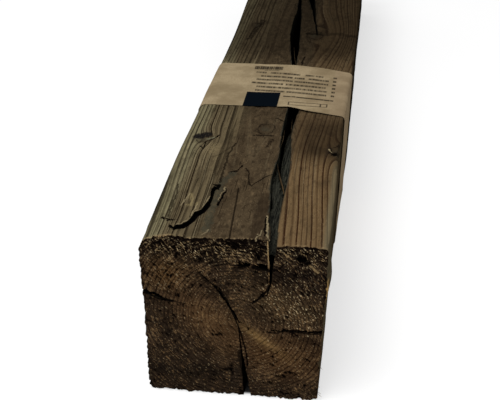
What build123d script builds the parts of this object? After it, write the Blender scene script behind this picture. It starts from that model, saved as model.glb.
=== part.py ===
from build123d import *
import os

os.makedirs("parts", exist_ok=True)

# A reclaimed timber beam with a paper band round it, in millimetres. The beam lies along Y, with the
# end that shows its heart at the low end of Y. X runs across it, Z is up, and the origin is under
# the middle of it, on the surface that it lies on.

# Timber
beam_length = 1000.0
beam_width = 140.0
beam_height = 140.0
face_wander = 2.5
lip_rise = 4.5
right_undercut = 5.5
left_undercut = 2.6
arris_radius = 3.5
foot_radius = 5.0
wane_radius = 12.0

# Heart of the log, as it shows in the end face
pith_across_share = 0.031
pith_height_share = 0.511
pith_across = beam_width * pith_across_share
pith_height = beam_height * pith_height_share
pith_cover = beam_height - pith_height

# Drying checks in the upper face: a check stops short of the pith, so its depth is a share of the
# wood that covers it
main_opening = 12.2
main_depth_share = 0.88
second_opening = 8.0
second_depth_share = 0.67
hairline = 1.6

# Cracks, shake and void in the near end
heart_crack_opening = 5.6
heart_crack_hairline = 1.0
heart_crack_reach = 210.0
left_crack_opening = 2.2
left_crack_depth = 19.0
left_crack_height_share = 0.664
left_crack_fall = 7.0
left_crack_reach = 250.0
right_crack_opening = 1.4
right_crack_depth = 42.0
right_crack_height_share = 0.471
right_crack_fall = 1.6
right_crack_reach = 140.0
upper_crack_opening = 1.2
upper_crack_reach = 90.0
shake_radius_share = 0.752
shake_opening = 3.2
shake_reach = 75.0
shake_start_angle = 64
shake_sweep_angle = 26
void_across_share = 0.361
void_up_share = 0.928
void_width = 6.0
void_height = 4.2
void_reach = 26.0
void_taper_angle = 4

# Paper band
paper_thickness = 0.3
paper_clearance = 0.25
band_width = 114.0
band_distance = 257.0
band_slip = 13.0
band_crease_across = 20.0

# Share of an arris's radius at which a flat across the corner just touches its round, and the place
# of the lip's lower corner in a section
crease_share = 2 - 2**0.5
lip_foot_number = 3

# How far a cutter runs past the face that it cuts, and how much is trimmed off below
overrun = 8.0
trim = 1.0

# The sawn faces stray as they run: share of the length, left and right face as shares of
# face_wander, wane as a share of wane_radius, lip as a share of lip_rise, and the left and right
# lip's place as shares of the width
outline_shares = (
    (0.000, 1.00, 0.10, 1.00, 1.00, 0.175, 0.232),
    (0.060, 0.95, 0.10, 0.95, 0.80, 0.155, 0.210),
    (0.110, 1.00, -0.10, 0.85, 0.60, 0.128, 0.212),
    (0.160, 1.00, -0.25, 0.75, 0.45, 0.126, 0.196),
    (0.230, 0.30, -0.30, 0.60, 0.32, 0.120, 0.186),
    (0.320, 0.00, 0.10, 0.55, 0.26, 0.090, 0.140),
    (0.400, -0.75, 0.80, 0.50, 0.24, 0.036, 0.086),
    (0.480, -0.65, 1.00, 0.50, 0.24, -0.026, 0.047),
    (0.550, -0.20, 0.85, 0.55, 0.22, -0.024, 0.020),
    (0.620, 0.60, 0.74, 0.60, 0.20, -0.040, 0.020),
    (0.700, 0.75, 0.50, 0.55, 0.18, -0.040, 0.060),
    (0.800, 0.30, 0.30, 0.50, 0.18, -0.040, 0.070),
    (0.900, 0.05, 0.35, 0.50, 0.18, -0.040, 0.070),
    (1.000, 0.10, 0.20, 0.50, 0.18, -0.040, 0.070),
)

# Where a check runs: share of the length, its middle as a share of the width, its opening and its
# depth as shares of its widest and deepest
main_check_shares = (
    (0.000, 0.210, 0.48, 0.84),
    (0.055, 0.182, 0.64, 0.86),
    (0.107, 0.169, 1.00, 0.95),
    (0.145, 0.168, 0.84, 1.00),
    (0.207, 0.140, 0.68, 0.95),
    (0.254, 0.148, 0.84, 0.95),
    (0.374, 0.073, 0.36, 0.90),
    (0.420, 0.050, 0.70, 0.90),
    (0.470, 0.020, 0.86, 0.86),
    (0.525, 0.004, 0.66, 0.75),
    (0.563, -0.006, 0.36, 0.60),
    (0.620, -0.030, 0.24, 0.45),
    (0.700, -0.060, 0.06, 0.12),
)
second_check_shares = (
    (0.478, 0.196, 0.14, 0.10),
    (0.527, 0.152, 0.24, 0.45),
    (0.565, 0.125, 0.45, 0.70),
    (0.606, 0.084, 0.85, 0.90),
    (0.700, 0.060, 1.00, 1.00),
    (0.800, 0.064, 0.86, 0.95),
    (0.900, 0.046, 0.96, 1.00),
    (1.000, 0.052, 0.92, 0.95),
)
knee_depth_share = 0.84
knee_lean_share = 0.20
tip_lean_share = 0.82

# Spine of the crack that runs from the upper left to the pith, as shares of the width across and of
# the height up
upper_crack_shares = ((-0.202, 0.825), (-0.091, 0.708), (-0.023, 0.597))


def station(distance):
    """The upright plane across the beam at a distance from its near end."""
    return Plane.XZ.offset(beam_length / 2 - distance)


def timber_corners(row, growth, foot):
    """Corners of the timber at one row of outline_shares, grown by a clearance and closed below at
    the height of its foot, and the radius of each. The lip of the main check has two of them."""
    along, left, right, wane, lip, lip_left, lip_right = row
    left_side = -beam_width / 2 - face_wander * left - growth
    right_side = beam_width / 2 + face_wander * right + growth
    top = beam_height + growth
    corners = (
        (left_side + left_undercut, foot),
        (right_side - right_undercut, foot),
        (right_side, top),
        (beam_width * lip_right, top),
        (beam_width * lip_left, top + lip_rise * lip),
        (left_side, top),
    )
    return corners, (foot_radius, foot_radius, arris_radius, 0, 0, wane_radius * wane)


def timber_outline(row):
    """Section of the timber, with its worn arrises rounded."""
    corners, radii = timber_corners(row, 0, paper_thickness - trim)
    with BuildSketch(station(beam_length * row[0])) as outline:
        with BuildLine():
            FilletPolyline(*corners, radius=radii, close=True)
        make_face()
    return outline.sketch


def sleeve_outline(row, growth):
    """Section round the timber that taut paper follows: it spans the check from lip to arris, and
    creases along each arris, where its flat touches the wood's round."""
    corners, radii = timber_corners(row, growth, -trim)
    spanned = [
        (Vector(*corner), radius * crease_share)
        for number, (corner, radius) in enumerate(zip(corners, radii))
        if number != lip_foot_number
    ]
    points = []
    for number, (corner, cut) in enumerate(spanned):
        before = spanned[number - 1][0]
        after = spanned[(number + 1) % len(spanned)][0]
        points.append(corner + (before - corner).normalized() * cut)
        if cut > 0:
            points.append(corner + (after - corner).normalized() * cut)
    with BuildSketch(station(beam_length * row[0])) as outline:
        with BuildLine():
            Polyline(*points, close=True)
        make_face()
    return outline.sketch


def crack_outline(plane, spine, widths):
    """Outline of a crack: a spine of points from its mouth to its tip, opened to a width at each."""
    points = [Vector(*point) for point in spine]
    left, right = [], []
    for number, (point, width) in enumerate(zip(points, widths)):
        run = points[min(number + 1, len(points) - 1)] - points[max(number - 1, 0)]
        side = run.normalized().rotate(Axis.Z, 90) * (width / 2)
        left.append(point + side)
        if width > 0:
            right.append(point - side)
    with BuildSketch(plane) as outline:
        with BuildLine():
            Polyline(*left, *reversed(right), close=True)
        make_face()
    return outline.sketch


def check_outline(distance, row, opening, deepest_share):
    """Section of a drying check, which points at the pith as it closes."""
    _, middle_share, opening_share, depth_share = row
    middle = beam_width * middle_share
    cover_share = deepest_share * depth_share
    reach = pith_cover * cover_share
    lean = (pith_across - middle) * cover_share
    knee_depth = reach * knee_depth_share
    mouth_width = opening * opening_share * (knee_depth + overrun) / knee_depth
    spine = (
        (middle, beam_height + overrun),
        (middle + lean * knee_lean_share, beam_height - knee_depth),
        (middle + lean * tip_lean_share, beam_height - reach),
    )
    return crack_outline(station(distance), spine, (mouth_width, hairline * opening_share, 0))


def check_outlines(rows, opening, deepest_share):
    """Sections of a check along the beam, carried past an end of the beam that it opens at."""
    outlines = [check_outline(beam_length * row[0], row, opening, deepest_share) for row in rows]
    if rows[0][0] == 0:
        outlines.insert(0, check_outline(-overrun, rows[0], opening, deepest_share))
    if rows[-1][0] == 1:
        outlines.append(check_outline(beam_length + overrun, rows[-1], opening, deepest_share))
    return outlines


def side_crack_outlines(mouth, tip, opening, reach):
    """First and last section of a crack that opens at a side of the near end and runs out along it."""
    inward = (Vector(*tip) - Vector(*mouth)).normalized()
    start = Vector(*mouth) - inward * overrun
    away = start - inward * trim
    return [
        crack_outline(station(-overrun), (start, Vector(*tip)), (opening, 0)),
        crack_outline(station(reach), (away, start), (opening, 0)),
    ]


# The beam: one stick of softwood, sawn square and long dried
with BuildPart() as beam:
    loft([timber_outline(row) for row in outline_shares])
    split(bisect_by=Plane.XY.offset(paper_thickness), keep=Keep.TOP)

    # The two drying checks
    loft(check_outlines(main_check_shares, main_opening, main_depth_share), mode=Mode.SUBTRACT)
    second_check = check_outlines(second_check_shares, second_opening, second_depth_share)
    loft(second_check, mode=Mode.SUBTRACT)

    # The crack that runs from the pith down through the underside
    pith = (pith_across, pith_height)
    heart_foot = (pith_across + heart_crack_opening, -overrun)
    heart_knee = (pith_across + heart_crack_hairline, pith_height / 2)
    heart_widths = (heart_crack_opening, heart_crack_hairline, 0)
    heart_away = ((heart_foot[0], -overrun - trim), (heart_foot[0], -overrun - trim / 2), heart_foot)
    loft(
        [
            crack_outline(station(-overrun), (heart_foot, heart_knee, pith), heart_widths),
            crack_outline(station(heart_crack_reach), heart_away, heart_widths),
        ],
        ruled=True,
        mode=Mode.SUBTRACT,
    )

    # The cracks at the two sides of the near end
    left_crack_height = beam_height * left_crack_height_share
    left_mouth = (-beam_width / 2, left_crack_height)
    left_tip = (left_crack_depth - beam_width / 2, left_crack_height - left_crack_fall)
    loft(
        side_crack_outlines(left_mouth, left_tip, left_crack_opening, left_crack_reach),
        ruled=True,
        mode=Mode.SUBTRACT,
    )
    right_crack_height = beam_height * right_crack_height_share
    right_mouth = (beam_width / 2, right_crack_height)
    right_tip = (beam_width / 2 - right_crack_depth, right_crack_height - right_crack_fall)
    loft(
        side_crack_outlines(right_mouth, right_tip, right_crack_opening, right_crack_reach),
        ruled=True,
        mode=Mode.SUBTRACT,
    )

    # The closed crack between the pith and the upper left
    upper_spine = [
        (beam_width * across, beam_height * up) for across, up in upper_crack_shares
    ] + [pith]
    upper_widths = (0, upper_crack_opening, upper_crack_opening, 0)
    upper_face = crack_outline(station(0), upper_spine, upper_widths)
    extrude(upper_face, amount=-upper_crack_reach, mode=Mode.SUBTRACT)

    # The ring shake beside the main check, and the void near the upper right
    shake_radius = pith_cover * shake_radius_share
    shake_arc = CenterArc(pith, shake_radius, shake_start_angle, shake_sweep_angle)
    with BuildSketch(station(0)):
        SlotArc(arc=shake_arc, height=shake_opening)
    extrude(amount=-shake_reach, mode=Mode.SUBTRACT)
    with BuildSketch(station(0)):
        with Locations((beam_width * void_across_share, beam_height * void_up_share)):
            Ellipse(void_width / 2, void_height / 2)
    extrude(amount=-void_reach, taper=void_taper_angle, mode=Mode.SUBTRACT)

# The paper band: a sleeve of kraft paper that is glued round the beam and lies a little askew
with BuildPart() as paper_band:
    loft([sleeve_outline(row, paper_clearance + paper_thickness) for row in outline_shares])
    split(bisect_by=Plane.XY, keep=Keep.TOP)
    with BuildPart(mode=Mode.PRIVATE) as inside:
        loft([sleeve_outline(row, paper_clearance) for row in outline_shares])
        split(bisect_by=Plane.XY.offset(paper_thickness), keep=Keep.TOP)
    add(inside.part, mode=Mode.SUBTRACT)
    with BuildSketch():
        front = band_distance - beam_length / 2
        side = beam_width / 2 + overrun
        with BuildLine():
            Polyline(
                (-side, front),
                (band_crease_across, front),
                (side, front - band_slip),
                (side, front - band_slip + band_width),
                (band_crease_across, front + band_width),
                (-side, front + band_width),
                close=True,
            )
        make_face()
    extrude(amount=beam_height + lip_rise + overrun, mode=Mode.INTERSECT)

beam.part.label = "beam"
export_step(beam.part, "parts/beam.step")
paper_band.part.label = "paper_band"
export_step(paper_band.part, "parts/paper_band.step")

for piece in (beam, paper_band):
    size = piece.part.bounding_box()
    print(piece.part.label, len(piece.part.solids()), round(piece.part.volume), size.min, size.max)
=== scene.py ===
# %% [markdown]
# # A reclaimed timber beam in its paper band
# The object is one stick of old softwood, sawn square, long dried and cut across with a coarse saw,
# with a sleeve of kraft paper round it. Almost all that the eye reads as "old timber" comes from
# one thing, the growth rings. They show as arcs on the end, as long dark lines on the faces, and as
# the figure between them. So this lesson writes the rings once, as a sum, and uses the same sum
# twice: on the mesh, to raise and sink its surface, and in the material, to colour it.

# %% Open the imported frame
import math

import bpy
import numpy as np
from mathutils import Matrix, Vector


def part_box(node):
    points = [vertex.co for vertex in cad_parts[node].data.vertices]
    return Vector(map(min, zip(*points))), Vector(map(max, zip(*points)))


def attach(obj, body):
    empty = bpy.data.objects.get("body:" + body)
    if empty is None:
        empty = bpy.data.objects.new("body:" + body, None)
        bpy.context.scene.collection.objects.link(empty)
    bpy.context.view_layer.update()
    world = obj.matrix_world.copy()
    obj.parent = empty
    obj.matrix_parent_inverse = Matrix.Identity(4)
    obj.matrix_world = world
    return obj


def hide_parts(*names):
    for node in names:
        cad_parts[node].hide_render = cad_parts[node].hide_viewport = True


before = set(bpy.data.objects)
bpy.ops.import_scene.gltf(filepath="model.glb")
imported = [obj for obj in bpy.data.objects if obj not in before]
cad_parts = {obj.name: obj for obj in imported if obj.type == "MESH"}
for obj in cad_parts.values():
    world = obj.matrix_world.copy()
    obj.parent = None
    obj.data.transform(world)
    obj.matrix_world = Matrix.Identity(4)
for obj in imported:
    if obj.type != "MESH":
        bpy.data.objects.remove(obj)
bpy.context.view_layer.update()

beam_low, beam_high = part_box("beam")
band_low, band_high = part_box("paper_band")
print("beam from", tuple(beam_low), "to", tuple(beam_high))
print("band from", tuple(band_low), "to", tuple(band_high))

# %% [markdown]
# ## Sizes
# Blender works in metres and a joiner in millimetres, so the sizes below are in millimetres and one
# factor turns them into metres. A place along the beam is its distance from the near end.

# %% Sizes of the timber, in millimetres
MM = 0.001
LENGTH = (beam_high.y - beam_low.y) / MM
WIDTH, HEIGHT = 140.0, 140.0
UNDERSIDE = beam_low.z / MM
FACE_WANDER = 2.5
LIP_RISE = 4.5
RIGHT_UNDERCUT, LEFT_UNDERCUT = 5.5, 2.6
ARRIS_RADIUS, FOOT_RADIUS, WANE_RADIUS = 3.5, 5.0, 12.0
PITH = (4.3, 71.5)

# Soft swellings and hollows: how far each goes, and the middle and the reach of its two ways. The
# side faces count their height in shares, and all else is in millimetres.
LEFT_HOLLOW = (0.6, (0.56, 0.23), (0.0, 70.0))
RIGHT_SWELL = (3.2, (0.745, 0.09), (25.0, 22.0))
NEAR_HUMP = (2.0, (-48.0, 12.0), (0.0, 40.0))
ARRIS_CHIP = (2.6, (70.0, 5.0), (168.0, 7.0))

# How the sawn faces stray: share of the length, left and right face as shares of FACE_WANDER, wane
# as a share of WANE_RADIUS, lip as a share of LIP_RISE, and the place of the lip's two corners as
# shares of the width
OUTLINE_SHARES = np.array((
    (0.000, 1.00, 0.10, 1.00, 1.00, 0.175, 0.232),
    (0.060, 0.95, 0.10, 0.95, 0.80, 0.155, 0.210),
    (0.110, 1.00, -0.10, 0.85, 0.60, 0.128, 0.212),
    (0.160, 1.00, -0.25, 0.75, 0.45, 0.126, 0.196),
    (0.230, 0.30, -0.30, 0.60, 0.32, 0.120, 0.186),
    (0.320, 0.00, 0.10, 0.55, 0.26, 0.090, 0.140),
    (0.400, -0.75, 0.80, 0.50, 0.24, 0.036, 0.086),
    (0.480, -0.65, 1.00, 0.50, 0.24, -0.026, 0.047),
    (0.550, -0.20, 0.85, 0.55, 0.22, -0.024, 0.020),
    (0.620, 0.60, 0.74, 0.60, 0.20, -0.040, 0.020),
    (0.700, 0.75, 0.50, 0.55, 0.18, -0.040, 0.060),
    (0.800, 0.30, 0.30, 0.50, 0.18, -0.040, 0.070),
    (0.900, 0.05, 0.35, 0.50, 0.18, -0.040, 0.070),
    (1.000, 0.10, 0.20, 0.50, 0.18, -0.040, 0.070),
))

# %% [markdown]
# ## A smooth line through a few measured places
# The faces wander from one measured place to the next. A cubic between each two places, with the
# slope at a place taken from its neighbours, is the plainest curve that doesn't look bent by ruler.

# %% Read a table smoothly
def follow(table, column, share):
    """Value of a table's column at a share of the length, on a smooth curve through its rows."""
    places, values = table[:, 0], table[:, column]
    slopes = np.gradient(values, places)
    row = np.clip(np.searchsorted(places, share) - 1, 0, len(places) - 2)
    run = places[row + 1] - places[row]
    t = np.clip((share - places[row]) / run, 0, 1)
    start = (2 * t**3 - 3 * t**2 + 1) * values[row] + (t**3 - 2 * t**2 + t) * run * slopes[row]
    end = (3 * t**2 - 2 * t**3) * values[row + 1] + (t**3 - t**2) * run * slopes[row + 1]
    return start + end


def swelling(table, first, second):
    """Rise of a soft swelling at two distances, from its row of numbers."""
    rise, (first_middle, first_reach), (second_middle, second_reach) = table
    a, b = (first - first_middle) / first_reach, (second - second_middle) / second_reach
    return rise * np.exp(-a * a - b * b)


def timber_faces(along, up_share):
    """Left and right face, wane radius, lip height and the lip's two corners at a place along."""
    stray_left, stray_right, wane, lip, lip_left, lip_right = (
        follow(OUTLINE_SHARES, column, along / LENGTH) for column in range(1, 7)
    )
    left = -WIDTH / 2 - FACE_WANDER * stray_left + LEFT_UNDERCUT * (1 - up_share)
    right = WIDTH / 2 + FACE_WANDER * stray_right - RIGHT_UNDERCUT * (1 - up_share)
    left = left + swelling(LEFT_HOLLOW, up_share, along)
    right = right + swelling(RIGHT_SWELL, up_share, along)
    return left, right, WANE_RADIUS * wane, LIP_RISE * lip, WIDTH * lip_left, WIDTH * lip_right


def timber_top(x, along, faces):
    """Height of the upper face: it rises to the left lip of the check, and swells at the near end."""
    left, _, _, lip, lip_left, lip_right = faces
    rising = lip * (x - left) / (lip_left - left)
    falling = lip * (lip_right - x) / (lip_right - lip_left)
    return HEIGHT + np.clip(np.minimum(rising, falling), 0, None) + swelling(NEAR_HUMP, x, along)


# %% [markdown]
# ## Growth rings
# A tree adds one ring a year round its pith, so a point's ring depends on its distance from the
# pith. Real pith wanders, real rings aren't round, and where a branch grew they bulge round it.
# Each of these is a short sum of sines and bell curves. Numbers, NumPy arrays and shader sockets
# all understand such a sum, so one function serves the mesh and the material.

# %% Sums that work on arrays and on sockets
class Wire:
    """One output of a shader node, written into sums as if it were a number."""

    def __init__(self, finish, socket):
        self.finish, self.socket = finish, socket

    def math(self, operation, *values):
        return self.finish.math(operation, self, *values)

    def __add__(self, other):
        return self.math("ADD", other)

    def __sub__(self, other):
        return self.math("SUBTRACT", other)

    def __mul__(self, other):
        return self.math("MULTIPLY", other)

    def __truediv__(self, other):
        return self.math("DIVIDE", other)

    def __rsub__(self, other):
        return self.finish.math("SUBTRACT", other, self)

    def __neg__(self):
        return self * -1.0

    __radd__, __rmul__ = __add__, __mul__


def either(operation, plain):
    """A function that adds a Math node to a wire, and works plainly on numbers and arrays."""
    def act(value, *others):
        return value.math(operation, *others) if isinstance(value, Wire) else plain(value, *others)
    return act


sine, root, whole = either("SINE", np.sin), either("SQRT", np.sqrt), either("FLOOR", np.floor)
exponent, at_most = either("EXPONENT", np.exp), either("MINIMUM", np.minimum)


def bell(value):
    """A bell curve of a squared distance: 1 at its middle, nearly nothing past 2."""
    return exponent(-value)


def spread(*ways):
    """Squared distance from a middle; each way is a value, its middle and its reach."""
    steps = [(value - middle) / reach for value, middle, reach in ways]
    squares = [step * step for step in steps]
    return sum(squares[1:], squares[0])


def ease(value, low, high):
    """0 below low, 1 above high, and a smooth rise between."""
    if isinstance(value, Wire):
        settings = {"interpolation_type": "SMOOTHSTEP"}
        return value.finish.node("ShaderNodeMapRange", settings, {0: value, 1: low, 2: high})
    t = np.clip((value - low) / (high - low), 0, 1)
    return t * t * (3 - 2 * t)


def fall(value, low, high):
    """1 below low, 0 above high, and a smooth fall between."""
    return 1.0 - ease(value, low, high)


def within(value, low, high, soft=0.35):
    """1 between two places and 0 outside them, with a soft edge."""
    return ease(value, low - soft, low + soft) * fall(value, high - soft, high + soft)


# %% Knots and rings
# Each knot: its place across, along and up, its reach across and along, and how hard it bends the
# rings. The photograph shows the first five.
KNOTS = (
    (-53.0, 180.0, 140.0, 10.0, 16.0, 0.45),
    (69.0, 170.0, 138.0, 14.0, 26.0, 0.80),
    (0.0, 206.0, 140.0, 12.0, 26.0, 0.40),
    (25.0, 474.0, 140.0, 13.0, 34.0, 0.80),
    (-45.0, 502.0, 140.0, 8.0, 20.0, 0.40),
    (-70.0, 352.0, 62.0, 16.0, 38.0, 0.85),
    (69.0, 588.0, 74.0, 16.0, 38.0, 0.85),
    (22.0, 770.0, 0.0, 15.0, 36.0, 0.85),
    (-30.0, 840.0, 140.0, 14.0, 34.0, 0.80),
)
RING_WIDTH = 2.7
# A bulge of the log behind the band: its middle across, along and up, and how far it pushes rings
BULGE, BULGE_PUSH = (46.0, 480.0, 140.0), 6.0


def pith_at(along):
    """Place of the pith across and up, which wanders and climbs along the log."""
    across = PITH[0] - 5.2 * sine(along / 112.0) + 0.6 * sine(along / 31.0)
    up = PITH[1] + 0.006 * along - 2.2 * sine(along / 95.0)
    return across, up


def ring_radius(x, along, z):
    """Distance from the pith, bent by an uneven log and by its knots.

    No height above the sawn face counts, so a lifted scale keeps the lines of the wood beside it.
    """
    across, up = pith_at(along)
    dx, dz = x - across, at_most(z, HEIGHT - 1.0) - up
    radius = root(dx * dx + dz * dz + 0.5)
    radius = radius + 0.07 * dx * dz / radius
    radius = radius + 0.20 * sine(along / 43.0 + dx / 11.0)
    radius = radius + 0.06 * sine(along / 13.0 + dz / 5.3 + dx / 6.1)
    bulge = bell(spread((x, BULGE[0], 20.0), (along, BULGE[1], 62.0), (z, BULGE[2], 50.0)))
    radius = radius - BULGE_PUSH * bulge
    for knot_x, knot_along, knot_z, reach, reach_along, pull in KNOTS:
        middle = math.hypot(knot_x - PITH[0], knot_z - PITH[1])
        near = bell(spread((x, knot_x, reach), (along, knot_along, reach_along), (z, knot_z, reach)))
        radius = radius - pull * near * (radius - middle)
    return radius


def ring_count(radius):
    """Years from the pith: wide years and narrow years take turns."""
    return radius / RING_WIDTH + 0.42 * sine(radius / 7.9 + 1.3) + 0.24 * sine(radius / 3.3)


def latewood(count):
    """The dark, hard wood that ends each year, from 0 to 1, stronger in some years."""
    year = whole(count)
    season = count - year
    strength = 0.74 + 0.26 * sine(year * 2.4 + 0.7)
    return ease(season, 0.53, 0.80) * fall(season, 0.93, 1.0) * strength


# %% [markdown]
# ## Noise
# Wear isn't a sum of sines. A lattice of random values, blended smoothly between its corners, gives
# a gentle noise, and stretched along the beam it gives fibres. The lattice is seeded, so that every
# run gives the same beam.

# %% Smooth noise on arrays
def lattice(points, seed):
    """Smooth noise from -1 to 1 at each point; a cell of the lattice is one unit wide."""
    cell = np.floor(points).astype(np.int64)
    t = points - cell
    t = t * t * (3 - 2 * t)
    total = np.zeros(len(points))
    for corner in range(8):
        bits = np.array([(corner >> axis) & 1 for axis in range(3)])
        key = (cell + bits) @ np.array((73856093, 19349663, 83492791)) + seed * 2654435761
        key = (key ^ (key >> 13)) * 1274126177 & 0xFFFFFFFF
        key = (key ^ (key >> 16)) & 0xFFFF
        weight = np.prod(np.where(bits == 1, t, 1 - t), axis=1)
        total += weight * (key / 32767.5 - 1)
    return total


def grain_noise(x, along, z, across_size, along_size, seed):
    """Noise whose cells are as wide and as long as asked, in millimetres."""
    points = np.stack((x / across_size, along / along_size, z / across_size), axis=1)
    return lattice(points, seed)


# %% [markdown]
# ## Working as by hand
# Operators act on what is selected and active, so each helper below first deselects everything and
# then picks its own piece. A loop cut needs a window. Subdividing all the edges that run one way
# does the same job.

# %% Helpers for operators
def pick(piece):
    """Makes one piece the only selected one, and the active one."""
    bpy.ops.object.select_all(action="DESELECT")
    piece.select_set(True)
    bpy.context.view_layer.objects.active = piece


def add(operator, name, **settings):
    """Adds a plain shape and names it."""
    bpy.ops.object.select_all(action="DESELECT")
    operator(**settings)
    piece = bpy.context.object
    piece.name = name
    return piece


def read(items, name, width=1, kind=float):
    """One value of every item of a mesh, as the rows of an array."""
    flat = np.empty(len(items) * width, dtype=kind)
    items.foreach_get(name, flat)
    return flat.reshape(-1, width)


def points_of(piece):
    """A piece's vertices as an array of x, distance along and z, in millimetres."""
    points = read(piece.data.vertices, "co", 3) / MM
    points[:, 1] += LENGTH / 2
    return points


def move_points(piece, x, along, z):
    """Writes such places back to the piece."""
    moved = np.stack((np.ravel(x), np.ravel(along) - LENGTH / 2, np.ravel(z)), axis=1)
    piece.data.vertices.foreach_set("co", (moved * MM).ravel())
    piece.data.update()


def subdivide(piece, kind, items, chosen, cuts):
    """Cuts the chosen edges or faces of a piece."""
    pick(piece)
    bpy.ops.object.mode_set(mode="EDIT")
    bpy.ops.mesh.select_mode(type=kind)
    bpy.ops.mesh.select_all(action="DESELECT")
    bpy.ops.object.mode_set(mode="OBJECT")
    items.foreach_set("select", chosen)
    bpy.ops.object.mode_set(mode="EDIT")
    bpy.ops.mesh.subdivide(number_cuts=cuts)
    bpy.ops.object.mode_set(mode="OBJECT")


def cut_edges(piece, axis, cuts):
    """Cuts every edge that runs along an axis, as that many loop cuts would."""
    points = points_of(piece)
    ends = read(piece.data.edges, "vertices", 2, np.int64)
    run = points[ends[:, 1]] - points[ends[:, 0]]
    runs_along = np.abs(run[:, axis]) > 0.9 * np.linalg.norm(run, axis=1)
    subdivide(piece, "EDGE", piece.data.edges, runs_along, cuts)


def face_outwards(piece):
    """Turns all faces of a closed piece outwards."""
    pick(piece)
    bpy.ops.object.mode_set(mode="EDIT")
    bpy.ops.mesh.select_all(action="SELECT")
    bpy.ops.mesh.normals_make_consistent(inside=False)
    bpy.ops.object.mode_set(mode="OBJECT")


def apply_modifier(piece, kind, **settings):
    """Adds a modifier with these settings and applies it."""
    pick(piece)
    modifier = piece.modifiers.new(kind.title(), kind)
    for name, value in settings.items():
        setattr(modifier, name, value)
    bpy.ops.object.modifier_apply(modifier=modifier.name)


def set_attribute(piece, name, values):
    """Stores a number for each vertex, or one for all of them, for the material to read."""
    attribute = piece.data.attributes.new(name, "FLOAT", "POINT")
    attribute.data.foreach_set("value", np.full(len(attribute.data), values, dtype=np.float32))


def smooth(piece, degrees):
    pick(piece)
    bpy.ops.object.shade_smooth_by_angle(angle=math.radians(degrees))


# %% [markdown]
# ## The squared stick
# A cube at the timber's size is cut into a fine net, finer across than along, because wood changes
# quickly across its grain and slowly along it. The near end is cut once more: its rough saw cut
# is what the photograph shows best. Then each point goes from its place in the plain block to the
# same place in the wandering outline.

# %% Cut the block into a net
CUTS_ACROSS, CUTS_UP, CUTS_ALONG, NEAR_END_CUTS = 78, 66, 112, 2
timber = add(
    bpy.ops.mesh.primitive_cube_add, "old_beam", size=1,
    location=(0, 0, HEIGHT / 2 * MM), scale=(WIDTH * MM, LENGTH * MM, HEIGHT * MM),
)
bpy.ops.object.transform_apply(location=True, rotation=True, scale=True)
cut_edges(timber, 1, CUTS_ALONG)
cut_edges(timber, 0, CUTS_ACROSS)
cut_edges(timber, 2, CUTS_UP)
near_end = read(timber.data.polygons, "center", 3)[:, 1] < -LENGTH / 2 * MM + MM
subdivide(timber, "FACE", timber.data.polygons, near_end, NEAR_END_CUTS)
set_attribute(timber, "skin", 1.0)
print("net of", len(timber.data.polygons), "faces")


# %% Bend the block to the timber's outline
# The net is denser near the photographed end: a step there is this share of an even one
NEAR_SHARE = 0.42


def round_corner(x, z, corner_x, corner_z, radius, side_x, side_z):
    """Presses a square corner into a round one, and draws the points inside it along."""
    a = 1 - (corner_x - x) * side_x / radius
    b = 1 - (corner_z - z) * side_z / radius
    inside = (a > 0) & (b > 0)
    a, b = np.clip(a, 0, 1), np.clip(b, 0, 1)
    new_x = corner_x - side_x * radius * (1 - a * np.sqrt(1 - b * b / 2))
    new_z = corner_z - side_z * radius * (1 - b * np.sqrt(1 - a * a / 2))
    return np.where(inside, new_x, x), np.where(inside, new_z, z)


block = points_of(timber)
t = block[:, 1] / LENGTH
along = LENGTH * (NEAR_SHARE * t + (1 - NEAR_SHARE) * t * t)
across_share = block[:, 0] / WIDTH + 0.5
up_share = block[:, 2] / HEIGHT
faces = timber_faces(along, up_share)
left, right, wane = faces[:3]
x = left + across_share * (right - left)
z = UNDERSIDE + up_share * (timber_top(x, along, faces) - UNDERSIDE)
x, z = round_corner(x, z, left, HEIGHT, wane, -1, 1)
x, z = round_corner(x, z, right, HEIGHT, ARRIS_RADIUS, 1, 1)
x, z = round_corner(x, z, left, UNDERSIDE, FOOT_RADIUS, -1, -1)
x, z = round_corner(x, z, right, UNDERSIDE, FOOT_RADIUS, 1, -1)
move_points(timber, x, along, z)

# %% [markdown]
# ## Checks and cracks
# Timber splits as it dries. The two checks in the upper face open wide and close towards the pith,
# and a star of thin cracks crosses the near end. Each is a cutter, a tube whose rings are the
# crack's sections, and a boolean takes it out of the stick. Walls of torn wood are never flat, so
# the cutter's rings are jogged with noise before it cuts.

# %% A cutter from a few sections
def tube(name, sides, rings, ends="NGON"):
    """A tube along Y: a cylinder whose long edges are cut into rings."""
    piece = add(
        bpy.ops.mesh.primitive_cylinder_add, name, vertices=sides, radius=10 * MM,
        depth=LENGTH * MM, rotation=(math.pi / 2, 0, 0), end_fill_type=ends,
    )
    bpy.ops.object.transform_apply(location=True, rotation=True, scale=True)
    cut_edges(piece, 1, rings - 2)
    return piece


def turn_and_ring(piece, rings):
    """Angle round a tube, and number of the ring, for each of its points."""
    points = points_of(piece)
    angle = np.arctan2(points[:, 2], points[:, 0])
    return angle, np.round(points[:, 1] / LENGTH * (rings - 1)).astype(int)


def shape_tube(piece, sections, alongs):
    """Moves each ring of a tube to its section, an array of points across and up."""
    sides = sections.shape[1]
    angle, ring = turn_and_ring(piece, len(alongs))
    side = np.round(angle / (2 * math.pi / sides)).astype(int) % sides
    move_points(piece, sections[ring, side, 0], alongs[ring], sections[ring, side, 1])
    face_outwards(piece)


def between(at, places, rows):
    """Reads each column of a table in straight lines, at the places asked for."""
    return np.stack([np.interp(at, places, column) for column in np.transpose(rows)], axis=-1)


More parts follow.
